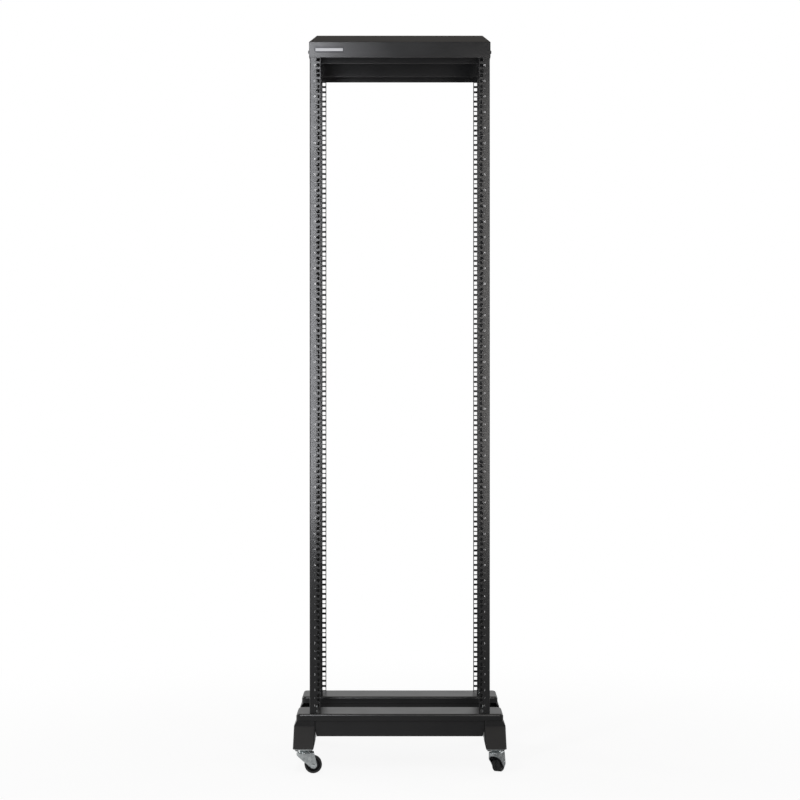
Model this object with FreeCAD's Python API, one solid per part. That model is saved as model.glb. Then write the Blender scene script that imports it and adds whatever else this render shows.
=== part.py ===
"""Four post open frame rack, 42 rack units, on four swivel casters.

Millimetres. +Z is up, the front faces -Y, and the origin is on the floor
under the middle of the rack. One corner of each kind is drawn at the front
right (+X, -Y) and mirrored to the others.
"""
import FreeCAD, Part
import math
import os

os.makedirs("parts", exist_ok=True)

Vector = FreeCAD.Vector

# ---- driving dimensions -------------------------------------------------

# Rack standard (EIA-310): 19 inch equipment on square-hole rails.
rack_units = 42
unit_height = 44.45
hole_columns_apart = 465.1
square_hole = 9.5
holes_in_unit = (6.35, 22.225, 38.1)

# Posts: folded C sections, open towards the middle of the rack.
rail_depth = 450.0            # front mounting face to rear mounting face
frame_width = 513.0           # outside to outside of the posts
post_depth = 108.0
rail_width = 31.1             # the drilled flange
return_width = 23.5           # the flange at the back of the C
post_sheet = 2.0
post_bend = 3.0               # outside radius of each fold

# Base: a shallow cap on an inverted channel, front and rear.
base_top = 160.6
cap_width = 589.0
cap_depth = 135.0
cap_height = 19.0
cap_overhang = 10.0           # cap edge beyond the mounting face
cap_corner = 12.0
cap_roll = 7.0
base_sheet = 2.5
channel_width = 480.0
channel_bottom = 96.6
channel_setback = 4.0
channel_corner = (4.5, 14.0)  # slanted lower corners of the webs

# Legs: folded brackets that carry the casters out past the posts.
leg_inner = 240.0
leg_outer = 301.0
leg_bottom = 70.2
leg_shoulder = 125.6
leg_reach = 70.0              # toe beyond the mounting face
foot_depth = 60.0
leg_heel = 120.0              # back edge of the leg, inside the mounting face
leg_sheet = 3.0
leg_bend = 4.5
toe_corner = (3.0, 14.0)      # slanted inner corner at the foot

# Rails that join the front and rear halves.
base_rail_height = 40.0
base_rail_width = 25.0
top_rail_width = 25.0
top_rail_height = 38.0

# Top: a channel between each pair of posts and a hipped sheet cover.
top_beam_height = 42.0
cover_sheet = 1.8
skirt_height = 43.8
hip_height = 22.0

# Casters: 49 mm wheels in deep-drawn swivel forks.
wheel_radius = 24.5
wheel_width = 24.0
tyre_depth = 6.0
tyre_shoulder = (2.5, 3.0)    # bevel at each edge of the tread
tread_groove = (1.3, 1.6)     # half width and depth
rim_inset = 1.0               # tyre bead inside the tread's width
hub_web = 4.0                 # half thickness of the dished centre
hub_dish_radius = 15.0
hub_boss_radius = 6.5
hub_side_gap = 0.8            # hub boss to fork
caster_trail = 26.0
caster_plate_side = 51.0
caster_plate_sheet = 3.0
caster_plate_corner = 6.0
plate_setback = 1.0           # plate edge behind the toe of the leg
race_radius = 14.5
race_drop = 5.6
race_gap = 0.5
race_lip = 1.5                # sloping lip outside the race
race_step = 2.6
race_taper = 1.6
fork_sheet = 2.0
fork_inside = 31.0
fork_crown = 59.0             # top of the fork
fork_nose = 21.0              # nose of the hood, ahead of the swivel
fork_nose_height = 8.0        # upright edge of the nose
fork_crease = 3.0             # where the round hood meets the flat cheeks
fork_tail = 2.0               # top of the cheeks, past the axle
crown_boss_radius = 12.5
crown_boss_flare = 1.5
cheek_end_radius = 10.0
kingpin_radius = 4.0
kingpin_head = (6.6, 6.0, 1.4)  # radius above and below, height
kingpin_head_gap = 0.4
axle_radius = 3.0
axle_head = (5.2, 3.4)        # radius at the cheek and at the crown
axle_head_rise = (2.0, 2.4)   # height of the crown's edge and middle
running_clearance = 0.05
# Direction in which each wheel trails its swivel, in degrees from +X.
caster_turn = {
    ("front", "left"): 5.0,
    ("front", "right"): 68.0,
    ("rear", "left"): -100.0,
    ("rear", "right"): -80.0,
}

# ---- worked out from those ----------------------------------------------

bay_height = rack_units * unit_height
bay_top = base_top + bay_height
face = rail_depth / 2.0
half_width = frame_width / 2.0
cap_front = face + cap_overhang
cap_back = cap_front - cap_depth
cap_under = base_top - base_sheet
cap_lip = base_top - cap_height
skirt_top = bay_top + skirt_height
post_top = bay_top + top_beam_height
toe = -face - leg_reach
caster_y = face + leg_reach - plate_setback - caster_plate_side / 2.0
caster_x = (leg_inner + leg_outer) / 2.0
plate_under = leg_bottom - caster_plate_sheet
race_low = plate_under - race_drop
fork_half_in = fork_inside / 2.0
fork_half_out = fork_half_in + fork_sheet
fork_under = fork_crown - fork_sheet
tyre_inside = wheel_radius - tyre_depth
past = 1.0                    # how far a cutter runs on past a face
SIDES = {"left": -1.0, "right": 1.0}
ENDS = {"front": 1.0, "rear": -1.0}
UP = Vector(0, 0, 1)
ORIGIN = Vector(0, 0, 0)


# ---- helpers --------------------------------------------------------------

def block(low, high):
    """A box between two corners."""
    size = [high[i] - low[i] for i in range(3)]
    return Part.makeBox(size[0], size[1], size[2], Vector(*low))


def prism(points, direction):
    """A closed outline of straight edges, pushed along a direction."""
    corners = [Vector(*p) for p in points]
    outline = Part.makePolygon(corners + corners[:1])
    return Part.Face(outline).extrude(Vector(*direction))


def flip(shape, across_x, across_y):
    """Mirror a shape across the middle planes of the rack."""
    if across_x:
        shape = shape.mirror(ORIGIN, Vector(1, 0, 0))
    if across_y:
        shape = shape.mirror(ORIGIN, Vector(0, 1, 0))
    return shape


def straight_edges(shape, direction, keep):
    """Edges along a direction whose middle point passes a test."""
    found = []
    for edge in shape.Edges:
        start = edge.Vertexes[0].Point
        run = edge.Vertexes[-1].Point.sub(start)
        if run.Length < 1e-6:
            continue
        if abs(run.normalize().dot(direction)) < 0.9999:
            continue
        if keep(edge.CenterOfMass):
            found.append(edge)
    return found


def edges_at_height(shape, height):
    """The edges that lie wholly at one height."""
    found = []
    for edge in shape.Edges:
        box = edge.BoundBox
        if abs(box.ZMin - height) < 1e-4 and abs(box.ZMax - height) < 1e-4:
            found.append(edge)
    return found


def revolve(points):
    """Turn an outline of (radius, height) points round the Z axis."""
    corners = [Vector(r, 0, h) for r, h in points]
    outline = Part.makePolygon(corners + corners[:1])
    return Part.Face(outline).revolve(ORIGIN, UP, 360)


def along_y(shape):
    """Lay a shape of revolution down with its axis along Y."""
    laid = shape.copy()
    laid.rotate(ORIGIN, Vector(1, 0, 0), -90)
    return laid


def save(shape, name):
    """Write one sub-part."""
    if not shape.isValid() or len(shape.Solids) != 1:
        raise RuntimeError(name + " is not one valid solid")
    shape.exportStep("parts/" + name + ".step")


# ---- posts ----------------------------------------------------------------

def post():
    """Front right post: a C section with square holes up its front flange."""
    front = -face
    back = front + post_depth
    web = half_width - post_sheet
    section = [
        (half_width - rail_width, front), (half_width, front),
        (half_width, back), (half_width - return_width, back),
        (half_width - return_width, back - post_sheet),
        (web, back - post_sheet), (web, front + post_sheet),
        (half_width - rail_width, front + post_sheet),
    ]
    outline = [(x, y, base_top) for x, y in section]
    body = prism(outline, (0, 0, post_top - base_top))
    outer_folds = straight_edges(body, UP, lambda p: p.x > half_width - 0.1)
    body = body.makeFillet(post_bend, outer_folds)
    inner_folds = straight_edges(
        body, UP, lambda p: abs(p.x - web) < 1e-3
        and min(abs(p.y - front), abs(p.y - back)) < post_sheet + 0.1)
    body = body.makeFillet(post_bend - post_sheet, inner_folds)
    return body.cut(Part.Compound(rail_holes()))


def rail_holes():
    """Cutters for three square holes in every rack unit of the flange."""
    cutters = []
    half = square_hole / 2.0
    column = hole_columns_apart / 2.0
    for unit in range(rack_units):
        for offset in holes_in_unit:
            z = base_top + unit * unit_height + offset
            cutters.append(block(
                (column - half, -face - past, z - half),
                (column + half, -face + post_sheet + past, z + half)))
    return cutters


# ---- base -----------------------------------------------------------------

def cap_hollow():
    """The space inside the front cap, open at the bottom."""
    half = cap_width / 2.0
    inner = block(
        (-half + base_sheet, -cap_front + base_sheet, cap_lip - past),
        (half - base_sheet, -cap_back - base_sheet, cap_under))
    corners = straight_edges(inner, UP, lambda p: True)
    return inner.makeFillet(cap_corner - base_sheet, corners)


def base_cap():
    """Front cap: a pressed tray, upside down, with a rolled top edge."""
    half = cap_width / 2.0
    outer = block((-half, -cap_front, cap_lip), (half, -cap_back, base_top))
    corners = straight_edges(outer, UP, lambda p: True)
    outer = outer.makeFillet(cap_corner, corners)
    outer = outer.makeFillet(cap_roll, edges_at_height(outer, base_top))
    return outer.cut(cap_hollow())


def base_channel():
    """Front channel under the cap: two webs and the top that joins them."""
    half = channel_width / 2.0
    y0 = -cap_front + channel_setback
    y1 = -cap_back - channel_setback
    slant, rise = channel_corner
    web_outline = [
        (-half, y0, cap_under), (half, y0, cap_under),
        (half, y0, channel_bottom + rise),
        (half - slant, y0, channel_bottom),
        (-half + slant, y0, channel_bottom),
        (-half, y0, channel_bottom + rise),
    ]
    outer = prism(web_outline, (0, y1 - y0, 0))
    hollow = block(
        (-half - past, y0 + base_sheet, channel_bottom - past),
        (half + past, y1 - base_sheet, cap_under - base_sheet))
    return outer.cut(hollow)


def leg_front_view(inset, bottom):
    """The leg seen from the front, drawn this far inside its outside."""
    tucked = cap_width / 2.0 - base_sheet
    slant, rise = toe_corner
    return [
        (leg_inner + slant + inset, 0, bottom),
        (leg_outer - inset, 0, bottom),
        (leg_outer - inset, 0, leg_shoulder),
        (tucked - inset, 0, cap_lip),
        (tucked - inset, 0, cap_under + inset),
        (leg_inner + inset, 0, cap_under + inset),
        (leg_inner + inset, 0, leg_bottom + rise),
    ]


def sloping_bracket():
    """The leg below the lip: a sloping box section with rounded front folds."""
    run = Vector(0, -cap_front + base_sheet - toe, cap_lip - leg_bottom)
    heel_run = Vector(0, leg_heel - face - toe - foot_depth, run.z)
    over = 0.1                    # runs on past both ends, to be trimmed
    front = Vector(leg_inner, toe, leg_bottom)
    back = Vector(leg_inner, toe + foot_depth, leg_bottom)
    corners = [
        front - run * over, back - heel_run * over,
        back + heel_run * (1.0 + over), front + run * (1.0 + over),
    ]
    body = prism(corners, (leg_outer - leg_inner, 0, 0))
    slope = Vector(run)
    folds = straight_edges(body, slope.normalize(), lambda p: True)
    return body.makeFillet(leg_bend, folds)


def leg():
    """Front right leg: sloping face, two cheeks and a foot plate."""
    shoulder = -cap_front + base_sheet
    heel = -face + leg_heel
    floor = leg_bottom + leg_sheet
    hollow_side = [
        (0, toe + 2.0 * leg_sheet, floor),
        (0, heel + past, floor),
        (0, heel + past, cap_under + past),
        (0, shoulder + leg_sheet, cap_under + past),
        (0, shoulder + leg_sheet, cap_lip - past),
    ]
    depth = (0, cap_front + leg_reach, 0)
    neck = block((leg_inner, shoulder, cap_lip),
                 (leg_outer, heel, cap_under)).common(cap_hollow())
    below_lip = block((0, toe, leg_bottom), (leg_outer, 0, cap_lip))
    outer = sloping_bracket().common(below_lip).fuse(neck)
    front_view = prism(leg_front_view(0.0, leg_bottom), depth)
    front_view.translate(Vector(0, toe, 0))
    inner_view = prism(leg_front_view(leg_sheet, leg_bottom), depth)
    inner_view.translate(Vector(0, toe, 0))
    hollow = inner_view.common(prism(hollow_side, (leg_outer + past, 0, 0)))
    return outer.common(front_view).cut(hollow).removeSplitter()


def base_rail():
    """Right base rail: a C section that ties the two beams together."""
    x0 = leg_inner + leg_sheet
    x1 = x0 + base_rail_width
    end = cap_front - channel_setback - base_sheet
    z0 = cap_lip - base_rail_height
    outer = block((x0, -end, z0), (x1, end, cap_lip))
    hollow = block(
        (x0 + base_sheet, -end - past, z0 + base_sheet),
        (x1 + past, end + past, cap_lip - base_sheet))
    return outer.cut(hollow)


# ---- top --------------------------------------------------------------------

def top_beam():
    """Front top beam: a channel, open downwards, inside the post sections."""
    half = half_width - post_sheet
    y0 = -face + post_sheet
    y1 = -face + post_depth - post_sheet
    corner = post_bend - post_sheet
    outer = block((-half, y0, bay_top), (half, y1, post_top))
    outer = outer.makeChamfer(corner, straight_edges(outer, UP, lambda p: True))
    hollow = block(
        (-half - past, y0 + post_sheet, bay_top - past),
        (half + past, y1 - post_sheet, post_top - post_sheet))
    return outer.cut(hollow)


def top_rail():
    """Right top rail: an angle between the front and rear posts."""
    end = face - post_depth
    z0 = post_top - top_rail_height
    upright = block((half_width - post_sheet, -end, z0),
                    (half_width, end, post_top))
    flange = block((half_width - top_rail_width, -end, post_top - post_sheet),
                   (half_width, end, post_top))
    return upright.fuse(flange).removeSplitter()


def hipped_block(half_x, half_y, foot, eaves, ridge):
    """A box with straight sides to the eaves and 45 degree hips above."""
    run = ridge - eaves
    rings = []
    for inset, z in ((0.0, eaves), (run, ridge)):
        x = half_x - inset
        y = half_y - inset
        rings.append(Part.makePolygon([
            Vector(-x, -y, z), Vector(x, -y, z), Vector(x, y, z),
            Vector(-x, y, z), Vector(-x, -y, z)]))
    hips = Part.makeLoft(rings, True, True)
    walls = block((-half_x, -half_y, foot), (half_x, half_y, eaves))
    return walls.fuse(hips).removeSplitter()


def top_cover():
    """Sheet cover: skirts outside the posts, hipped edges, flat top."""
    half_x = half_width + cover_sheet
    half_y = face + cover_sheet
    ridge = skirt_top + hip_height
    corner = cover_sheet * math.tan(math.radians(22.5))
    outer = hipped_block(half_x, half_y, bay_top, skirt_top, ridge)
    inner = hipped_block(half_width, face, bay_top - past,
                         skirt_top - corner, ridge - cover_sheet)
    return outer.cut(inner)


# ---- casters ----------------------------------------------------------------
# Each piece is drawn with its swivel axis on the Z axis and its wheel
# trailing along +X, then turned and moved to its corner.

def caster_plate():
    """Square mounting plate with its pressed ball race and kingpin."""
    half = caster_plate_side / 2.0
    plate = block((-half, -half, plate_under), (half, half, leg_bottom))
    plate = plate.makeFillet(caster_plate_corner,
                             straight_edges(plate, UP, lambda p: True))
    seat = plate_under + caster_plate_sheet / 2.0
    wide, narrow, height = kingpin_head
    head_top = fork_under - kingpin_head_gap
    race = revolve([
        (0, seat), (race_radius + race_lip, seat),
        (race_radius + race_lip, plate_under),
        (race_radius, plate_under - race_step),
        (race_radius - race_taper, race_low), (kingpin_radius, race_low),
        (kingpin_radius, head_top), (wide, head_top),
        (narrow, head_top - height), (0, head_top - height),
    ])
    return plate.fuse(race).removeSplitter()


def hood_plan(half, nose, depth):
    """The fork seen from above: a round hood and two long flat cheeks."""
    crease = fork_crease
    tail = caster_trail + 2.0 * cheek_end_radius
    edges = [
        Part.Arc(Vector(crease, half, 0), Vector(-nose, 0, 0),
                 Vector(crease, -half, 0)).toShape(),
        Part.LineSegment(Vector(crease, -half, 0),
                         Vector(tail, -half, 0)).toShape(),
        Part.LineSegment(Vector(tail, -half, 0),
                         Vector(tail, half, 0)).toShape(),
        Part.LineSegment(Vector(tail, half, 0),
                         Vector(crease, half, 0)).toShape(),
    ]
    return Part.Face(Part.Wire(edges)).extrude(Vector(0, 0, depth))


def tangent_point(start, centre, radius, hand):
    """Where a line from start touches a circle, on one side or the other."""
    dx = start[0] - centre[0]
    dz = start[1] - centre[1]
    angle = math.atan2(dz, dx) + hand * math.acos(radius / math.hypot(dx, dz))
    return (centre[0] + radius * math.cos(angle),
            centre[1] + radius * math.sin(angle))


def cheek_view():
    """The fork seen from its side, down to a round end at the axle."""
    axle = (caster_trail, wheel_radius)
    nose = (-fork_nose, fork_crown - fork_nose_height)
    tail = (caster_trail + fork_tail, fork_crown)
    low = tangent_point(nose, axle, cheek_end_radius, 1.0)
    high = tangent_point(tail, axle, cheek_end_radius, -1.0)
    bottom = (axle[0], axle[1] - cheek_end_radius)

    def at(point):
        return Vector(point[0], -fork_half_out - past, point[1])

    corners = [at(high), at(tail), at((-fork_nose, fork_crown)), at(nose),
               at(low)]
    edges = [Part.LineSegment(a, b).toShape()
             for a, b in zip(corners, corners[1:])]
    edges.append(Part.Arc(at(low), at(bottom), at(high)).toShape())
    width = 2.0 * (fork_half_out + past)
    return Part.Face(Part.Wire(edges)).extrude(Vector(0, width, 0))


def caster_fork():
    """Deep-drawn fork: a hooded nose, two tapering cheeks, a raised crown."""
    outside = hood_plan(fork_half_out, fork_nose, fork_crown)
    inside = hood_plan(fork_half_in, fork_nose - fork_sheet, fork_under)
    shell = outside.common(cheek_view())
    rim = straight_edges(shell, Vector(1, 0, 0),
                         lambda p: p.z > fork_crown - 0.1)
    rim += [e for e in edges_at_height(shell, fork_crown)
            if e.Curve.TypeId == "Part::GeomCircle"]
    shell = shell.makeFillet(fork_sheet, rim)
    foot = fork_crown - fork_sheet / 2.0
    flare = crown_boss_radius + crown_boss_flare
    crest = race_low - race_gap
    boss = revolve([(0, foot), (flare, foot), (flare, fork_crown),
                    (crown_boss_radius, crest), (0, crest)])
    shell = shell.cut(inside).fuse(boss)
    pin_hole = Part.makeCylinder(kingpin_radius + running_clearance,
                                 fork_crown, Vector(0, 0, wheel_radius))
    axle_hole = Part.makeCylinder(
        axle_radius, 4.0 * fork_half_out,
        Vector(caster_trail, -2.0 * fork_half_out, wheel_radius),
        Vector(0, 1, 0))
    return shell.cut(pin_hole).cut(axle_hole).removeSplitter()


def caster_tyre():
    """Wheel tread with a groove round its middle."""
    half = wheel_width / 2.0
    drop, inward = tyre_shoulder
    groove, groove_depth = tread_groove
    side = [
        (tyre_inside, half - rim_inset), (wheel_radius - drop, half),
        (wheel_radius, half - inward), (wheel_radius, groove),
    ]
    other_side = [(r, -h) for r, h in reversed(side)]
    middle = [(wheel_radius - groove_depth, 0)]
    return along_y(revolve(side + middle + other_side))


def caster_hub():
    """Dished wheel centre with a boss at the axle."""
    boss = fork_half_in - hub_side_gap
    bore = axle_radius + running_clearance
    side = [
        (bore, boss), (hub_boss_radius, boss),
        (hub_boss_radius + 1.0, hub_web), (hub_dish_radius, hub_web),
        (tyre_inside, wheel_width / 2.0 - rim_inset),
    ]
    return along_y(revolve(side + [(r, -h) for r, h in reversed(side)]))


def caster_axle():
    """Rivet axle with a domed head outside each cheek."""
    end = fork_half_out
    seat, crown = axle_head
    edge, middle = axle_head_rise
    head = [(axle_radius, end), (seat, end), (crown, end + edge),
            (0, end + middle)]
    return along_y(revolve([(r, -h) for r, h in reversed(head)] + head))


def place_caster(end, side):
    """Write the five pieces of one caster where they stand."""
    corner = Vector(SIDES[side] * caster_x, -ENDS[end] * caster_y, 0)
    axle_place = Vector(caster_trail, 0, wheel_radius)
    pieces = {
        "caster_plate": caster_plate(),
        "caster_fork": caster_fork(),
        "caster_tyre": caster_tyre(),
        "caster_hub": caster_hub(),
        "caster_axle": caster_axle(),
    }
    for name in ("caster_tyre", "caster_hub", "caster_axle"):
        pieces[name].translate(axle_place)
    for name, piece in pieces.items():
        if name != "caster_plate":
            piece.rotate(ORIGIN, UP, caster_turn[(end, side)])
        piece.translate(corner)
        save(piece, name + "_" + end + "_" + side)


# ---- the assembly -------------------------------------------------------------

front_post = post()
front_leg = leg()
front_cap = base_cap()
front_channel = base_channel()
front_beam = top_beam()
right_base_rail = base_rail()
right_top_rail = top_rail()

for end in ENDS:
    behind = ENDS[end] < 0
    save(flip(front_cap, False, behind), "base_cap_" + end)
    save(flip(front_channel, False, behind), "base_channel_" + end)
    save(flip(front_beam, False, behind), "top_beam_" + end)
    for side in SIDES:
        leftward = SIDES[side] < 0
        save(flip(front_post, leftward, behind), "post_" + end + "_" + side)
        save(flip(front_leg, leftward, behind), "leg_" + end + "_" + side)
        place_caster(end, side)

for side in SIDES:
    leftward = SIDES[side] < 0
    save(flip(right_base_rail, leftward, False), "base_rail_" + side)
    save(flip(right_top_rail, leftward, False), "top_rail_" + side)

save(top_cover(), "top_cover")
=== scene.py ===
import math

import bmesh
import bpy
from mathutils import Matrix, Vector


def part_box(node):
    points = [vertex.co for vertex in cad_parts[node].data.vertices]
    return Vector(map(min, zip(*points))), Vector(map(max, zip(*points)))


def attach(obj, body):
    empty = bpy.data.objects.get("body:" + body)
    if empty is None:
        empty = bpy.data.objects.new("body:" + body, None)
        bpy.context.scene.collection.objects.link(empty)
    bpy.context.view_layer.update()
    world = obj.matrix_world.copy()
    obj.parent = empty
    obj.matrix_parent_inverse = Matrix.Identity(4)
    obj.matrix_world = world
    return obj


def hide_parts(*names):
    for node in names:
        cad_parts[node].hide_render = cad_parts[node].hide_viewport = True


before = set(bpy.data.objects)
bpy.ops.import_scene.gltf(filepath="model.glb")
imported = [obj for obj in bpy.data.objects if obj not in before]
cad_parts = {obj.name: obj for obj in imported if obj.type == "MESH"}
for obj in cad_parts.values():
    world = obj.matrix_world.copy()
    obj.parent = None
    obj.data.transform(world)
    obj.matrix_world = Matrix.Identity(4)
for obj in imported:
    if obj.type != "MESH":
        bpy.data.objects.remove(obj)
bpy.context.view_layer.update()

scene = bpy.context.scene

# ---- camera -------------------------------------------------------------------
# Level and square to the front, at half the rack's height, far enough back
# that the posts run almost parallel and the rear pair shows inside the front.
front_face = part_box("post_front_left")[0].y
camera_distance = 5.7
camera_height = 1.0527
camera_across = 0.0007
focal_length = 90.14          # millimetres, on a 36 mm sensor
lens = bpy.data.cameras.new("camera")
lens.sensor_width = 36.0
lens.lens = focal_length
lens.clip_end = 60.0
camera = bpy.data.objects.new("camera", lens)
camera.location = (camera_across, front_face - camera_distance, camera_height)
camera.rotation_euler = (math.radians(90.0), 0.0, 0.0)
scene.collection.objects.link(camera)
scene.camera = camera

# ---- studio ---------------------------------------------------------------------
# White paper under and behind the rack. A tall narrow softbox stands close at
# the left, a weak one at the right, a wide dim one hangs overhead towards the
# back, and one at each side behind edges the posts.
scene.view_settings.view_transform = "Standard"


def new_nodes(tree):
    """Empty a node tree and return a short way to add nodes to it."""
    tree.nodes.clear()

    def add(kind, **values):
        node = tree.nodes.new(kind)
        for name, value in values.items():
            setattr(node, name, value)
        return node

    return add


def ramp(add, link, value, low, high, to_low, to_high):
    """A map from one range to another, eased at both ends."""
    node = add("ShaderNodeMapRange", interpolation_type="SMOOTHSTEP")
    link(value, node.inputs["Value"])
    node.inputs["From Min"].default_value = low
    node.inputs["From Max"].default_value = high
    node.inputs["To Min"].default_value = to_low
    node.inputs["To Max"].default_value = to_high
    return node.outputs["Result"]


def either(add, link, first, second):
    """The larger of two factors."""
    node = add("ShaderNodeMath", operation="MAXIMUM")
    link(first, node.inputs[0])
    link(second, node.inputs[1])
    return node.outputs[0]


def studio_world():
    """White to the eye; in gloss bright behind the rack, dim in front and above."""
    world = bpy.data.worlds.new("studio")
    world.use_nodes = True
    tree = world.node_tree
    add = new_nodes(tree)
    link = tree.links.new
    path = add("ShaderNodeLightPath")
    direction = add("ShaderNodeTexCoord")
    split = add("ShaderNodeSeparateXYZ")
    link(direction.outputs["Generated"], split.inputs[0])
    sweep = ramp(add, link, split.outputs["Y"], -0.95, 0.3, 0.06, 0.52)
    zenith = ramp(add, link, split.outputs["Z"], 0.6, 0.95, 1.0, 0.45)
    sky = add("ShaderNodeMath", operation="MULTIPLY")
    link(sweep, sky.inputs[0])
    link(zenith, sky.inputs[1])
    mirrored = either(add, link, path.outputs["Is Glossy Ray"],
                      path.outputs["Is Transmission Ray"])
    soft = add("ShaderNodeMix", data_type="FLOAT")
    soft.inputs["A"].default_value = 0.42
    link(mirrored, soft.inputs["Factor"])
    link(sky.outputs[0], soft.inputs["B"])
    seen = add("ShaderNodeMix", data_type="FLOAT")
    link(path.outputs["Is Camera Ray"], seen.inputs["Factor"])
    link(soft.outputs["Result"], seen.inputs["A"])
    seen.inputs["B"].default_value = 1.0
    light = add("ShaderNodeBackground")
    light.inputs["Color"].default_value = (1.0, 1.0, 1.0, 1.0)
    link(seen.outputs["Result"], light.inputs["Strength"])
    out = add("ShaderNodeOutputWorld")
    link(light.outputs[0], out.inputs["Surface"])
    return world


def blank_material(name):
    """A material with no nodes yet, and the ways to add and to link them."""
    material = bpy.data.materials.new(name)
    material.use_nodes = True
    tree = material.node_tree
    return material, new_nodes(tree), tree.links.new


def floor_paper():
    """White paper that keeps the rack's shadow and fades to pure white; in reflections it
    glows with painted light, brighter at the left and near the rack, and again far in front.
    """
    material, add, link = blank_material("floor_paper")
    path = add("ShaderNodeLightPath")
    place = add("ShaderNodeTexCoord")
    mirrored = either(add, link, path.outputs["Is Glossy Ray"],
                      path.outputs["Is Transmission Ray"])
    seen = either(add, link, path.outputs["Is Camera Ray"], mirrored)
    away = add("ShaderNodeVectorMath", operation="LENGTH")
    link(place.outputs["Object"], away.inputs[0])
    fade = ramp(add, link, away.outputs["Value"], 0.45, 2.4, 0.90, 1.0)
    share = add("ShaderNodeMath", operation="MULTIPLY")
    link(seen, share.inputs[0])
    link(fade, share.inputs[1])
    split = add("ShaderNodeSeparateXYZ")
    link(place.outputs["Object"], split.inputs[0])
    # Painted light: in reflections the paper glows brighter at the left and near the rack,
    # and again far in front, as if the lamps lit it there.
    painted_glow_side = ramp(add, link, split.outputs["X"], -0.5, 0.5, 0.55, 0.14)
    painted_glow_edge = ramp(add, link, split.outputs["Y"], -1.2, -0.55, 0.15, 1.0)
    painted_glow_front = ramp(add, link, split.outputs["Y"], -2.4, -1.6, 0.30, 0.0)
    lit = add("ShaderNodeMath", operation="MULTIPLY_ADD")
    link(painted_glow_side, lit.inputs[0])
    link(painted_glow_edge, lit.inputs[1])
    link(painted_glow_front, lit.inputs[2])
    strength = add("ShaderNodeMix", data_type="FLOAT")
    link(mirrored, strength.inputs["Factor"])
    strength.inputs["A"].default_value = 1.0
    link(lit.outputs[0], strength.inputs["B"])
    paper = add("ShaderNodeBsdfDiffuse")
    paper.inputs["Color"].default_value = (0.88, 0.88, 0.88, 1.0)
    white = add("ShaderNodeEmission")
    white.inputs["Color"].default_value = (1.0, 1.0, 1.0, 1.0)
    link(strength.outputs["Result"], white.inputs["Strength"])
    mix = add("ShaderNodeMixShader")
    link(share.outputs[0], mix.inputs["Fac"])
    link(paper.outputs[0], mix.inputs[1])
    link(white.outputs[0], mix.inputs[2])
    out = add("ShaderNodeOutputMaterial")
    link(mix.outputs[0], out.inputs["Surface"])
    return material


def softbox(name, place, aim, size, watts, tint):
    """A rectangular lamp that faces a point and doesn't show itself."""
    lamp = bpy.data.lights.new(name, "AREA")
    lamp.shape = "RECTANGLE"
    lamp.size, lamp.size_y = size
    lamp.energy = watts
    lamp.color = tint
    holder = bpy.data.objects.new(name, lamp)
    holder.location = place
    facing = Vector(aim) - Vector(place)
    holder.rotation_euler = facing.to_track_quat("-Z", "Y").to_euler()
    holder.visible_camera = False
    scene.collection.objects.link(holder)


scene.world = studio_world()
floor_mesh = bpy.data.meshes.new("floor")
floor_reach = 24.0
floor_mesh.from_pydata(
    [(-floor_reach, -floor_reach, 0.0), (floor_reach, -floor_reach, 0.0),
     (floor_reach, floor_reach, 0.0), (-floor_reach, floor_reach, 0.0)],
    [], [(0, 1, 2, 3)])
floor_mesh.materials.append(floor_paper())
floor = bpy.data.objects.new("floor", floor_mesh)
scene.collection.objects.link(floor)
softbox("key_strip", (-0.346, -1.16, 1.58), (-0.320, 0.0, 1.58), (0.124, 1.86),
        11.3, (0.95, 0.96, 1.0))
softbox("right_strip", (0.44, -1.45, 1.36), (0.30, 0.0, 1.36), (0.16, 1.56),
        5.4, (1.0, 0.97, 0.94))
softbox("overhead", (0.0, 2.2, 4.4), (0.0, 2.2, 0.0), (6.0, 6.0),
        28.0, (1.0, 0.88, 0.74))
softbox("back_left", (-2.6, 2.2, 1.7), (0.0, 0.0, 1.1), (0.8, 2.0),
        24.0, (1.0, 1.0, 1.0))
softbox("back_right", (2.4, 2.6, 1.6), (0.0, 0.0, 1.0), (0.8, 2.0),
        14.0, (1.0, 1.0, 1.0))

# ---- posts ------------------------------------------------------------------------
# Each post is one strip of 2 mm steel, punched flat with square holes up both
# flanges, folded twice into a C, then coated in fine textured black powder.
ENDS = {"front": -1.0, "rear": 1.0}
SIDES = {"left": -1.0, "right": 1.0}
CORNERS = [(end, side) for end in ENDS for side in SIDES]


def mottle(add, link, spot, scale, detail, roughness=0.5):
    """Soft random specks; the scale is how many fit in a metre."""
    node = add("ShaderNodeTexNoise")
    link(spot, node.inputs["Vector"])
    node.inputs["Scale"].default_value = scale
    node.inputs["Detail"].default_value = detail
    node.inputs["Roughness"].default_value = roughness
    return node.outputs["Fac"]


def between(add, link, factor, dark, pale):
    """A colour that goes from dark to pale with a factor."""
    node = add("ShaderNodeMix", data_type="RGBA")
    node.inputs["A"].default_value = (*dark, 1.0)
    node.inputs["B"].default_value = (*pale, 1.0)
    link(factor, node.inputs["Factor"])
    return node.outputs["Result"]


def relief(add, link, height, strength, depth):
    """A fine relief; the depth is in metres."""
    node = add("ShaderNodeBump")
    node.inputs["Strength"].default_value = strength
    node.inputs["Distance"].default_value = depth
    link(height, node.inputs["Height"])
    return node


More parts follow.
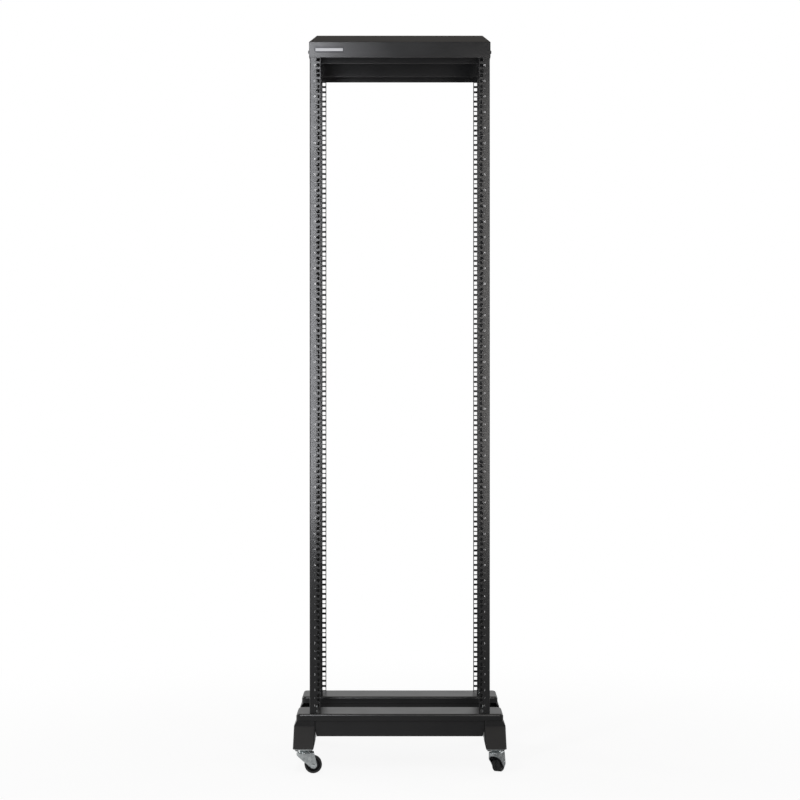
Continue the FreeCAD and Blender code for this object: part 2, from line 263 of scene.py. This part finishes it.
def powder_coat(name, tint, roughness):
    """Fine textured black powder coat on steel."""
    material, add, link = blank_material(name)
    spot = add("ShaderNodeTexCoord").outputs["Object"]
    grain = mottle(add, link, spot, 1100.0, 3.0, 0.6)
    flow = mottle(add, link, spot, 260.0, 2.0)
    cloud = mottle(add, link, spot, 12.0, 5.0)
    shade = between(add, link, cloud, [c * 0.86 for c in tint], [c * 1.16 for c in tint])
    gloss = ramp(add, link, cloud, 0.35, 0.65, roughness - 0.015, roughness + 0.015)
    orange_peel = relief(add, link, flow, 0.08, 0.0002)
    texture = relief(add, link, grain, 0.22, 0.0001)
    link(orange_peel.outputs["Normal"], texture.inputs["Normal"])
    coat = add("ShaderNodeBsdfPrincipled")
    coat.inputs["Specular IOR Level"].default_value = 0.62
    link(shade, coat.inputs["Base Color"])
    link(gloss, coat.inputs["Roughness"])
    link(texture.outputs["Normal"], coat.inputs["Normal"])
    out = add("ShaderNodeOutputMaterial")
    link(coat.outputs[0], out.inputs["Surface"])
    return material


black_coat = powder_coat("black_powder_coat", (0.0125, 0.0125, 0.0131), 0.30)


def make_piece(name, mesh, material, body, stands_for=()):
    """Put a finished mesh into the scene as one piece of the rack."""
    piece = bpy.data.objects.new(name, mesh)
    mesh.materials.clear()
    mesh.materials.append(material)
    scene.collection.objects.link(piece)
    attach(piece, body)
    if stands_for:
        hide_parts(*stands_for)
    return piece


film_edge_angle = math.radians(38.0)


def round_edges(piece, width):
    """Round every sharp edge, as the powder film does."""
    for face in piece.data.polygons:
        face.use_smooth = True
    bevel = piece.modifiers.new("film", "BEVEL")
    bevel.width = width
    bevel.segments = 2
    bevel.limit_method = "ANGLE"
    bevel.angle_limit = film_edge_angle
    bevel.use_clamp_overlap = True
    shading = piece.modifiers.new("shading", "WEIGHTED_NORMAL")
    shading.keep_sharp = True


post_low, post_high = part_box("post_front_right")
post_sheet = 0.002
post_bend = 0.003
unit_height = 0.04445
rack_units = 42
holes_in_unit = (0.00635, 0.022225, 0.0381)
hole_half = 0.0095 / 2.0
rail_column = 0.4651 / 2.0
return_edge = 0.0235
return_column = 0.2430
base_top = post_low.z
post_film = 0.00035


def fold(corner, start_angle, steps=4):
    """Stations round one fold: points on the outside and the way inwards."""
    stations = []
    for step in range(steps + 1):
        angle = start_angle + step / steps * math.pi / 2.0
        outward = Vector((math.cos(angle), math.sin(angle)))
        stations.append((corner + outward * post_bend, -outward))
    return stations


def post_stations():
    """The front right post's section from one free edge to the other."""
    front, back = post_low.y, post_high.y
    outside = post_high.x
    ahead = Vector((0.0, 1.0))
    behind = Vector((0.0, -1.0))
    flange = [post_low.x, rail_column - hole_half, rail_column + hole_half]
    stations = [(Vector((x, front)), ahead) for x in flange]
    stations += fold(Vector((outside - post_bend, front + post_bend)), -math.pi / 2.0)
    stations += fold(Vector((outside - post_bend, back - post_bend)), 0.0)
    flange = [return_column + hole_half, return_column - hole_half,
              outside - return_edge]
    stations += [(Vector((x, back)), behind) for x in flange]
    return stations


def hole_heights():
    """The middles of the square holes, from the lowest unit up."""
    return [base_top + unit * unit_height + offset
            for unit in range(rack_units) for offset in holes_in_unit]


def folded_post(x_sign, y_sign):
    """Punch the strip, fold it, and mirror it to its corner."""
    stations = post_stations()
    rows = [post_low.z]
    for middle in hole_heights():
        rows += [middle - hole_half, middle + hole_half]
    rows.append(post_high.z)
    punched = {1, len(stations) - 3}    # the hole strips of the two flanges
    mesh = bmesh.new()
    faces = ([], [])
    for point, inward in stations:
        for skin, depth in zip(faces, (0.0, post_sheet)):
            spot = point + inward * depth
            skin.append([mesh.verts.new((spot.x * x_sign, spot.y * y_sign, z))
                         for z in rows])

    def solid(i, j):
        if not (0 <= i < len(stations) - 1 and 0 <= j < len(rows) - 1):
            return False
        return not (i in punched and j % 2 == 1)

    outside, inside = faces
    for i in range(len(stations) - 1):
        for j in range(len(rows) - 1):
            if not solid(i, j):
                continue
            ring = [(i, j), (i + 1, j), (i + 1, j + 1), (i, j + 1)]
            mesh.faces.new([outside[a][b] for a, b in ring])
            mesh.faces.new([inside[a][b] for a, b in reversed(ring)])
            beside = [(i, j - 1), (i + 1, j), (i, j + 1), (i - 1, j)]
            for k, (a, b) in enumerate(beside):
                if not solid(a, b):
                    p, q = ring[k], ring[(k + 1) % 4]
                    mesh.faces.new([outside[q[0]][q[1]], outside[p[0]][p[1]],
                                    inside[p[0]][p[1]], inside[q[0]][q[1]]])
    loose = [v for v in mesh.verts if not v.link_faces]
    bmesh.ops.delete(mesh, geom=loose, context="VERTS")
    bmesh.ops.recalc_face_normals(mesh, faces=mesh.faces)
    data = bpy.data.meshes.new("folded_post")
    mesh.to_mesh(data)
    mesh.free()
    return data


for end, side in CORNERS:
    node = "post_" + end + "_" + side
    post = make_piece("folded_" + node, folded_post(SIDES[side], -ENDS[end]),
                      black_coat, "frame", [node])
    round_edges(post, post_film)

# ---- unit numbers ------------------------------------------------------------------
# The rack units are numbered 1 to 42 from the bottom, screen printed in white
# beside the hole column, with a short dash where one unit meets the next.
numeral_height = 0.0052
numeral_squeeze = 0.72        # narrower than the drawn font
cap_share = 0.7               # height of a numeral in its font size
numeral_pitch = 0.0034
ink = 0.00004                 # thickness of the print
print_column = 0.2417
dash_size = (0.0040, 0.0003)
print_weld = 1e-6


def screen_ink(name):
    """White screen ink, a little thin over the textured coat."""
    material, add, link = blank_material(name)
    spot = add("ShaderNodeTexCoord").outputs["Object"]
    thin = mottle(add, link, spot, 900.0, 3.0)
    shade = between(add, link, thin, (0.62, 0.62, 0.63), (0.86, 0.86, 0.86))
    film = add("ShaderNodeBsdfPrincipled")
    film.inputs["Roughness"].default_value = 0.55
    link(shade, film.inputs["Base Color"])
    out = add("ShaderNodeOutputMaterial")
    link(film.outputs[0], out.inputs["Surface"])
    return material


def numeral(character):
    """One numeral as a thin closed mesh, centred, standing in X and Y."""
    letter = bpy.data.curves.new("numeral", "FONT")
    letter.body = character
    letter.size = numeral_height / cap_share
    letter.resolution_u = 2
    letter.extrude = ink / 2.0
    letter.align_x = "CENTER"
    letter.align_y = "CENTER"
    holder = bpy.data.objects.new("numeral", letter)
    scene.collection.objects.link(holder)
    graph = bpy.context.evaluated_depsgraph_get()
    mesh = bpy.data.meshes.new_from_object(holder.evaluated_get(graph))
    bpy.data.objects.remove(holder)
    return mesh


numerals = {character: numeral(character) for character in "0123456789"}


def add_box(mesh, low, high):
    """A closed box between two corners, added to a mesh."""
    middle = (Vector(low) + Vector(high)) / 2.0
    size = Vector(high) - Vector(low)
    shape = Matrix.Translation(middle) @ Matrix.Diagonal((*size, 1.0))
    bmesh.ops.create_cube(mesh, size=1.0, matrix=shape)


def printed_units():
    """All the numbers and dashes of one post, printed in X and Y."""
    mesh = bmesh.new()
    for unit in range(rack_units):
        middle = base_top + (unit + 0.5) * unit_height
        word = str(unit + 1)
        for place, character in enumerate(word):
            across = (place - (len(word) - 1) / 2.0) * numeral_pitch
            before = len(mesh.verts)
            mesh.from_mesh(numerals[character])
            mesh.verts.ensure_lookup_table()
            for vertex in mesh.verts[before:]:
                vertex.co.x = vertex.co.x * numeral_squeeze + across
                vertex.co.y += middle
    half_x, half_y = dash_size[0] / 2.0, dash_size[1] / 2.0
    for unit in range(1, rack_units):
        line = base_top + unit * unit_height
        add_box(mesh, (-half_x, line - half_y, -ink / 2.0),
                (half_x, line + half_y, ink / 2.0))
    bmesh.ops.remove_doubles(mesh, verts=mesh.verts, dist=print_weld)
    data = bpy.data.meshes.new("printed_units")
    mesh.to_mesh(data)
    mesh.free()
    return data


white_ink = screen_ink("white_screen_ink")
for end, side in CORNERS:
    units = printed_units()
    upright = Matrix.Rotation(math.radians(90.0), 4, "X")
    about = Matrix.Rotation(math.radians(0.0 if end == "front" else 180.0), 4, "Z")
    face_y = ENDS[end] * (ink / 2.0 - post_low.y)
    spot = Matrix.Translation((SIDES[side] * print_column, face_y, 0.0))
    units.transform(spot @ about @ upright)
    make_piece("printed_units_" + end + "_" + side, units, white_ink, "frame")

# ---- base caps and webs ---------------------------------------------------------------
# Two shallow trays are pressed from 2.5 mm sheet with a rolled top edge, each
# over an inverted channel; the same black powder rounds their cut edges.
weld_distance = 2e-6
flat_angle = math.radians(0.4)


def coated_copy(node):
    """The solid's own faces, welded and freed of flat seams."""
    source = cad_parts[node].data
    mesh = bmesh.new()
    spots = [mesh.verts.new(v.co) for v in source.vertices]
    mesh.verts.index_update()
    for face in source.polygons:
        corners = [spots[i] for i in face.vertices]
        mesh.faces.new(corners)
    bmesh.ops.remove_doubles(mesh, verts=mesh.verts, dist=weld_distance)
    bmesh.ops.dissolve_limit(mesh, angle_limit=flat_angle,
                             verts=mesh.verts, edges=mesh.edges)
    data = bpy.data.meshes.new(node + "_coated")
    mesh.to_mesh(data)
    mesh.free()
    return data


def coat_part(name, node, film):
    """Finish one folded or pressed part of the frame in black powder."""
    piece = make_piece(name, coated_copy(node), black_coat, "frame",
                       [node])
    round_edges(piece, film)


sheet_film = 0.0006
for end in ENDS:
    coat_part("pressed_cap_" + end, "base_cap_" + end, sheet_film)
    coat_part("base_web_" + end, "base_channel_" + end, sheet_film)

# ---- legs -----------------------------------------------------------------------------
# Folded 3 mm brackets drop straight from under the caps, then slope out at a
# shoulder to carry the casters past the mounting faces; welded to the caps.
leg_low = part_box("leg_front_left")[0]
leg_toe = -leg_low.y
leg_shoulder = leg_low.z + 0.0554  # the fold, and the crease of the outer cheek
leg_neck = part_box("base_cap_front")[0].z
shoulder_tuck = 0.0125        # how far the shoulder stands behind the slope
front_half = 0.035            # behind the toe, at the foot
heel_slope = 1.3              # the heel runs back faster than the face


def shoulder_share(height):
    """How much of the tuck a point of the front face takes at this height."""
    if height < leg_shoulder:
        return (height - leg_low.z) / (leg_shoulder - leg_low.z)
    return max(0.0, (leg_neck - height) / (leg_neck - leg_shoulder))


def shouldered_leg(node, end_sign):
    """The bracket with its front face folded at the shoulder."""
    data = coated_copy(node)
    mesh = bmesh.new()
    mesh.from_mesh(data)
    bmesh.ops.bisect_plane(
        mesh, geom=mesh.verts[:] + mesh.edges[:] + mesh.faces[:],
        dist=weld_distance / 2.0, plane_co=(0.0, 0.0, leg_shoulder),
        plane_no=(0.0, 0.0, 1.0))
    for vertex in mesh.verts:
        rise = vertex.co.z - leg_low.z
        if vertex.co.y * end_sign > leg_toe - front_half - heel_slope * rise:
            vertex.co.y -= end_sign * shoulder_tuck * shoulder_share(vertex.co.z)
    mesh.to_mesh(data)
    mesh.free()
    return data


for end, side in CORNERS:
    node = "leg_" + end + "_" + side
    leg = make_piece("folded_" + node, shouldered_leg(node, ENDS[end]),
                     black_coat, "frame", [node])
    round_edges(leg, sheet_film)

# ---- tie rails ------------------------------------------------------------------------
# Two rails of C section, open outwards, tie the front half of the base to the
# rear half; they are welded in just under the lips of the caps.
rail_film = 0.0005
for side in SIDES:
    coat_part("tie_rail_" + side, "base_rail_" + side, rail_film)

# ---- head ---------------------------------------------------------------------------
# A channel joins the tops of each pair of posts and two angles join the front
# pair to the rear pair; all four are bolted inside the post sections.
for end in ENDS:
    coat_part("head_channel_" + end, "top_beam_" + end, rail_film)
for side in SIDES:
    coat_part("head_angle_" + side, "top_rail_" + side, rail_film)

# ---- cover --------------------------------------------------------------------------
# One sheet is folded down all round into 44 mm skirts below 45 degree hips,
# with welded corners ground smooth under the coat.
cover_film = 0.0014
coat_part("hipped_cover", "top_cover", cover_film)

# ---- cover screws ---------------------------------------------------------------------
# Black button head screws with hexagon sockets hold the skirts to the posts,
# two to each post, through the sides of the cover.
cover_low, cover_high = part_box("top_cover")
screw_radius = 0.0050
screw_height = 0.0032
socket_flats = 0.0032
socket_depth = 0.0016
screw_rise = 0.018            # above the skirt's lower edge
screw_spots = (0.206, 0.142)  # ahead of and behind the rack's middle


def blackened_steel(name):
    """Blackened screw steel with a slight oily sheen."""
    material, add, link = blank_material(name)
    spot = add("ShaderNodeTexCoord").outputs["Object"]
    bloom = mottle(add, link, spot, 420.0, 4.0)
    shade = between(add, link, bloom, (0.012, 0.012, 0.013), (0.030, 0.030, 0.032))
    gloss = ramp(add, link, bloom, 0.3, 0.7, 0.26, 0.42)
    steel = add("ShaderNodeBsdfPrincipled")
    steel.inputs["Metallic"].default_value = 0.35
    link(shade, steel.inputs["Base Color"])
    link(gloss, steel.inputs["Roughness"])
    out = add("ShaderNodeOutputMaterial")
    link(steel.outputs[0], out.inputs["Surface"])
    return material


def hexagon_reach(angle):
    """Distance from a hexagon's centre to its edge, for flats 2 apart."""
    turn = angle % (math.pi / 3.0) - math.pi / 6.0
    return 1.0 / math.cos(turn)


def turned(rings, steps=36):
    """A closed form from rings of (radius, height, hexagonal or not)."""
    mesh = bmesh.new()
    loops = []
    for radius, height, hexagonal in rings:
        loop = []
        for step in range(steps):
            angle = 2.0 * math.pi * step / steps
            far = radius * (hexagon_reach(angle) if hexagonal else 1.0)
            loop.append(mesh.verts.new(
                (far * math.cos(angle), far * math.sin(angle), height)))
        loops.append(loop)
    for lower, upper in zip(loops, loops[1:]):
        for i in range(steps):
            j = (i + 1) % steps
            mesh.faces.new((lower[i], lower[j], upper[j], upper[i]))
    mesh.faces.new(list(reversed(loops[0])))
    mesh.faces.new(loops[-1])
    bmesh.ops.recalc_face_normals(mesh, faces=mesh.faces)
    return mesh


def button_head():
    """A button head screw, standing on its seat, with a hexagon socket."""
    crown = screw_radius * 0.56
    rim = screw_height * 0.28
    half = socket_flats / 2.0
    rings = [(screw_radius, 0.0, False), (screw_radius, rim, False)]
    for step in range(1, 6):
        angle = step / 5.0 * math.pi / 2.0
        rings.append((crown + (screw_radius - crown) * math.cos(angle),
                      rim + (screw_height - rim) * math.sin(angle), False))
    rings += [(half * 1.12, screw_height, True),
              (half, screw_height - half * 0.12, True),
              (half, screw_height - socket_depth, True)]
    return turned(rings)


def place_turned(name, form, spots, material, body, sharp=40.0):
    """Copy a turned form to several spots and join the copies as one piece."""
    shape = bpy.data.meshes.new(name)
    form.to_mesh(shape)
    form.free()
    joined = bmesh.new()
    for spot in spots:
        before = len(joined.verts)
        joined.from_mesh(shape)
        joined.verts.ensure_lookup_table()
        bmesh.ops.transform(joined, matrix=spot, verts=joined.verts[before:])
    joined.to_mesh(shape)
    joined.free()
    piece = make_piece(name, shape, material, body)
    for face in shape.polygons:
        face.use_smooth = True
    shape.set_sharp_from_angle(angle=math.radians(sharp))
    return piece


screw_steel = blackened_steel("blackened_screw_steel")
for end, side in CORNERS:
    outward = Matrix.Rotation(math.radians(90.0) * SIDES[side], 4, "Y")
    spots = [Matrix.Translation((SIDES[side] * cover_high.x, ENDS[end] * y,
                                 cover_low.z + screw_rise)) @ outward
             for y in screw_spots]
    place_turned("cover_screws_" + end + "_" + side, button_head(), spots,
                 screw_steel, "frame")

# ---- plate on the cover -----------------------------------------------------------------
# A dark lacquered plate is stuck to the left end of the front skirt. It holds
# a bare strip of pale enamel, with nothing printed or stamped on it.
plate_size = (0.0840, 0.0165)
plate_middle = (-0.2008, 2.0493)
plate_rise = 0.0009
plate_rim = 0.0012
plate_sink = 0.0003
plate_edge = 0.0003           # width of the softened edges
plate_corner = 0.0030


def rounded_outline(half_x, half_y, corner, steps=5):
    """Points round a rectangle with rounded corners."""
    points = []
    for quarter, (sx, sy) in enumerate(((1, 1), (-1, 1), (-1, -1), (1, -1))):
        for step in range(steps + 1):
            angle = (quarter + step / steps) * math.pi / 2.0
            points.append((sx * (half_x - corner) + corner * math.cos(angle),
                           sy * (half_y - corner) + corner * math.sin(angle)))
    return points


def lidded(rings):
    """A closed form from outlines of like points, each at its own height."""
    mesh = bmesh.new()
    loops = [[mesh.verts.new((x, y, height)) for x, y in outline]
             for outline, height in rings]
    for lower, upper in zip(loops, loops[1:]):
        for i in range(len(lower)):
            j = (i + 1) % len(lower)
            mesh.faces.new((lower[i], lower[j], upper[j], upper[i]))
    mesh.faces.new(list(reversed(loops[0])))
    mesh.faces.new(loops[-1])
    bmesh.ops.recalc_face_normals(mesh, faces=mesh.faces)
    return mesh


def pressed_plate():
    """The plate lying in X and Y, face up; its rim stands round a low field."""
    half_x, half_y = plate_size[0] / 2.0, plate_size[1] / 2.0
    levels = ((0.0, 0.0), (0.0, plate_rise * 0.7), (plate_edge, plate_rise),
              (plate_rim, plate_rise), (plate_rim + plate_edge, plate_rise - plate_sink))
    return lidded([(rounded_outline(half_x - inset, half_y - inset,
                                    plate_corner - inset), height)
                   for inset, height in levels])


def drawn_out(add, link, spot, scale):
    """Places whose specks run long where the scale is under one."""
    node = add("ShaderNodeMapping")
    node.inputs["Scale"].default_value = scale
    link(spot, node.inputs["Vector"])
    return node.outputs["Vector"]


def brushed(name, dark, pale, metallic, roughness):
    """Lacquer or enamel over a plate that was brushed along its length."""
    material, add, link = blank_material(name)
    spot = add("ShaderNodeTexCoord").outputs["Object"]
    along = drawn_out(add, link, spot, (0.04, 1.0, 1.0))
    brush = mottle(add, link, along, 2600.0, 3.0)
    shade = between(add, link, brush, dark, pale)
    hair = relief(add, link, brush, 0.25, 0.00004)
    face = add("ShaderNodeBsdfPrincipled")
    face.inputs["Metallic"].default_value = metallic
    face.inputs["Roughness"].default_value = roughness
    link(shade, face.inputs["Base Color"])
    link(hair.outputs["Normal"], face.inputs["Normal"])
    out = add("ShaderNodeOutputMaterial")
    link(face.outputs[0], out.inputs["Surface"])
    return material


strip_size = (0.0780, 0.0082)
strip_rise = 0.0005           # above the field of the dark plate
strip_corner = 0.0012


def pale_strip():
    """The strip lying in X and Y, face up, with a softened edge."""
    half_x, half_y = strip_size[0] / 2.0, strip_size[1] / 2.0
    levels = ((0.0, 0.0), (0.0, strip_rise * 0.6), (plate_edge, strip_rise))
    return lidded([(rounded_outline(half_x - inset, half_y - inset,
                                    strip_corner - inset), height)
                   for inset, height in levels])


upright = Matrix.Rotation(math.radians(90.0), 4, "X")
plate_spot = Matrix.Translation((plate_middle[0], cover_low.y, plate_middle[1]))
place_turned("bare_plate", pressed_plate(), [plate_spot @ upright],
             brushed("dark_plate_lacquer", (0.020, 0.020, 0.022), (0.045, 0.045, 0.048),
                     0.5, 0.30), "frame", sharp=25.0)
raised = Matrix.Translation((0.0, 0.0, plate_rise - plate_sink))
place_turned("bare_plate_strip", pale_strip(), [plate_spot @ upright @ raised],
             brushed("pale_enamel", (0.36, 0.36, 0.37), (0.46, 0.46, 0.47),
                     0.0, 0.45), "frame", sharp=25.0)

# ---- casters --------------------------------------------------------------------------
# Stamped and zinc plated plates, forks and rivet axles; moulded black wheels
# with rubber treads. Each fork swivels on the ball race under its plate.


def zinc(name, dark, pale):
    """Bright zinc plate over drawn steel: cool, cloudy, faintly streaked."""
    material, add, link = blank_material(name)
    spot = add("ShaderNodeTexCoord").outputs["Object"]
    cloud = mottle(add, link, spot, 110.0, 5.0, 0.6)
    streak = mottle(add, link, drawn_out(add, link, spot, (1.0, 1.0, 0.16)), 900.0, 3.0)
    spread = ramp(add, link, cloud, 0.34, 0.66, 0.0, 1.0)
    shade = between(add, link, spread, dark, pale)
    gloss = ramp(add, link, cloud, 0.3, 0.7, 0.22, 0.36)
    draw_marks = relief(add, link, streak, 0.25, 0.00005)
    metal = add("ShaderNodeBsdfPrincipled")
    metal.inputs["Metallic"].default_value = 1.0
    link(shade, metal.inputs["Base Color"])
    link(gloss, metal.inputs["Roughness"])
    link(draw_marks.outputs["Normal"], metal.inputs["Normal"])
    out = add("ShaderNodeOutputMaterial")
    link(metal.outputs[0], out.inputs["Surface"])
    return material


def moulded(name, dark, pale, roughness, grain_scale):
    """Moulded black rubber or plastic with a faint matt bloom."""
    material, add, link = blank_material(name)
    spot = add("ShaderNodeTexCoord").outputs["Object"]
    cloud = mottle(add, link, spot, 130.0, 5.0)
    grain = mottle(add, link, spot, grain_scale, 3.0)
    shade = between(add, link, cloud, dark, pale)
    gloss = ramp(add, link, cloud, 0.0, 1.0, roughness - 0.12, roughness + 0.12)
    mould_grain = relief(add, link, grain, 0.35, 0.0001)
    skin = add("ShaderNodeBsdfPrincipled")
    link(shade, skin.inputs["Base Color"])
    link(gloss, skin.inputs["Roughness"])
    link(mould_grain.outputs["Normal"], skin.inputs["Normal"])
    out = add("ShaderNodeOutputMaterial")
    link(skin.outputs[0], out.inputs["Surface"])
    return material


zinc_plate = zinc("zinc_plate", (0.50, 0.53, 0.54), (0.82, 0.86, 0.86))
tyre_rubber = moulded("black_tyre", (0.008, 0.008, 0.009), (0.022, 0.022, 0.022), 0.55, 900.0)
hub_plastic = moulded("black_hub", (0.012, 0.012, 0.013), (0.020, 0.020, 0.021), 0.42, 1500.0)
for end, side in CORNERS:
    place = end + "_" + side
    finishes = {"caster_plate_": zinc_plate, "caster_fork_": zinc_plate,
                "caster_axle_": zinc_plate, "caster_tyre_": tyre_rubber,
                "caster_hub_": hub_plastic}
    for stem, material in finishes.items():
        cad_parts[stem + place].data.materials[0] = material

# ---- caster bolts -----------------------------------------------------------------------
# Four blackened hexagon bolts hold each plate up against the foot of its
# leg; their heads stand below the plate, clear of the turning fork.
bolt_pitch = 0.038
bolt_flats = 0.0080
bolt_height = 0.0028
bolt_chamfer = 0.18           # share of the height that the chamfer takes
plate_sheet = 0.003


def hexagon_head():
    """A chamfered hexagon head, standing on its seat."""
    half = bolt_flats / 2.0
    shoulder = bolt_height * (1.0 - bolt_chamfer)
    return turned([(half, 0.0, True), (half, shoulder, True),
                   (half * 0.94, bolt_height, False),
                   (half * 0.30, bolt_height, False)])


downward = Matrix.Rotation(math.pi, 4, "X")
for end, side in CORNERS:
    low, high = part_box("caster_plate_" + end + "_" + side)
    middle = (low + high) / 2.0
    under = high.z - plate_sheet
    spots = [Matrix.Translation((middle.x + sx * bolt_pitch / 2.0,
                                 middle.y + sy * bolt_pitch / 2.0, under)) @ downward
             for sx in (-1.0, 1.0) for sy in (-1.0, 1.0)]
    place_turned("caster_bolts_" + end + "_" + side, hexagon_head(), spots,
                 screw_steel, "frame", sharp=30.0)

# ---- post feet ---------------------------------------------------------------------------
# A 3 mm tab is welded inside the foot of each post and bolted down through
# the cap with two hexagon bolts on flat washers.
tab_sheet = 0.003
tab_gap = 0.0022              # sheet of the post and a hair of weld gap
tab_reach = 0.0190
foot_bolt_half = 0.0055       # half across the flats
foot_bolt_height = 0.0048
foot_bolt_chamfer = 0.0006
bolt_flange = 0.0004          # raised seat under the hexagon
washer_radius = 0.0085
washer_height = 0.0014
foot_bolt_setback = 0.024     # from each end of the tab


def foot_tab(side_sign, end_sign):
    """The tab inside one post's foot."""
    outer = post_high.x - tab_gap
    inner = outer - tab_reach
    near = -post_high.y + tab_gap
    far = -post_low.y - tab_gap
    xs = sorted((inner * side_sign, outer * side_sign))
    ys = sorted((near * end_sign, far * end_sign))
    mesh = bmesh.new()
    add_box(mesh, (xs[0], ys[0], base_top), (xs[1], ys[1], base_top + tab_sheet))
    data = bpy.data.meshes.new("foot_tab")
    mesh.to_mesh(data)
    mesh.free()
    return data


def washer_and_bolt():
    """A hexagon bolt head on its washer, standing on its seat."""
    seat = washer_height + bolt_flange
    top = washer_height + foot_bolt_height
    return turned([
        (washer_radius, 0.0, False), (washer_radius, washer_height, False),
        (foot_bolt_half * 1.08, washer_height, True),
        (foot_bolt_half * 1.08, seat, True),
        (foot_bolt_half, seat, True),
        (foot_bolt_half, top - foot_bolt_chamfer, True),
        (foot_bolt_half * 0.93, top, False),
        (foot_bolt_half * 0.30, top, False)])


for end, side in CORNERS:
    place = end + "_" + side
    tab = make_piece("foot_tab_" + place, foot_tab(SIDES[side], ENDS[end]),
                     black_coat, "frame")
    round_edges(tab, rail_film)
    across = SIDES[side] * (post_high.x - tab_gap - tab_reach / 2.0)
    along = (-post_high.y + foot_bolt_setback, -post_low.y - foot_bolt_setback)
    spots = [Matrix.Translation((across, ENDS[end] * y, base_top + tab_sheet))
             for y in along]
    place_turned("foot_bolts_" + place, washer_and_bolt(), spots,
                 zinc_plate, "frame", 30.0)
